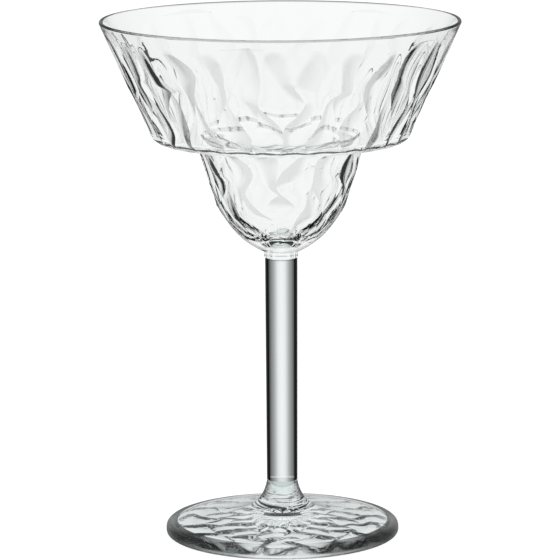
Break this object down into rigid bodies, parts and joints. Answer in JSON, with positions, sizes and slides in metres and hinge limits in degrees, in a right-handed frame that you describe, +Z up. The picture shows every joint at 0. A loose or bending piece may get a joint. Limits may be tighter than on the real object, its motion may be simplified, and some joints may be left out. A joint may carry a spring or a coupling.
{
  "type": "margarita glass",
  "caption": "Stemmed cocktail glass in clear moulded plastic: a wide flared bowl stepping in to a small cup, scooped facets outside and under a disc foot.",
  "frame": {"origin": "centre of the foot's resting ring, on the table plane", "axes": "+Z up along the axis of the glass; -Y faces the viewer of the picture and +X is to the viewer's right"},
  "size_m": [0.1164, 0.1164, 0.169],
  "materials": {
    "bowl_plastic": "clear, colourless, high gloss",
    "stem_plastic": "clear, colourless, high gloss",
    "foot_plastic": "clear, colourless, high gloss",
    "adhesive": "clear, cured adhesive film"
  },
  "bodies": {
    "root": {"bowl": "bowl_plastic", "upper_bond": "adhesive", "stem": "stem_plastic", "lower_bond": "adhesive", "foot": "foot_plastic"}
  },
  "joints": []
}
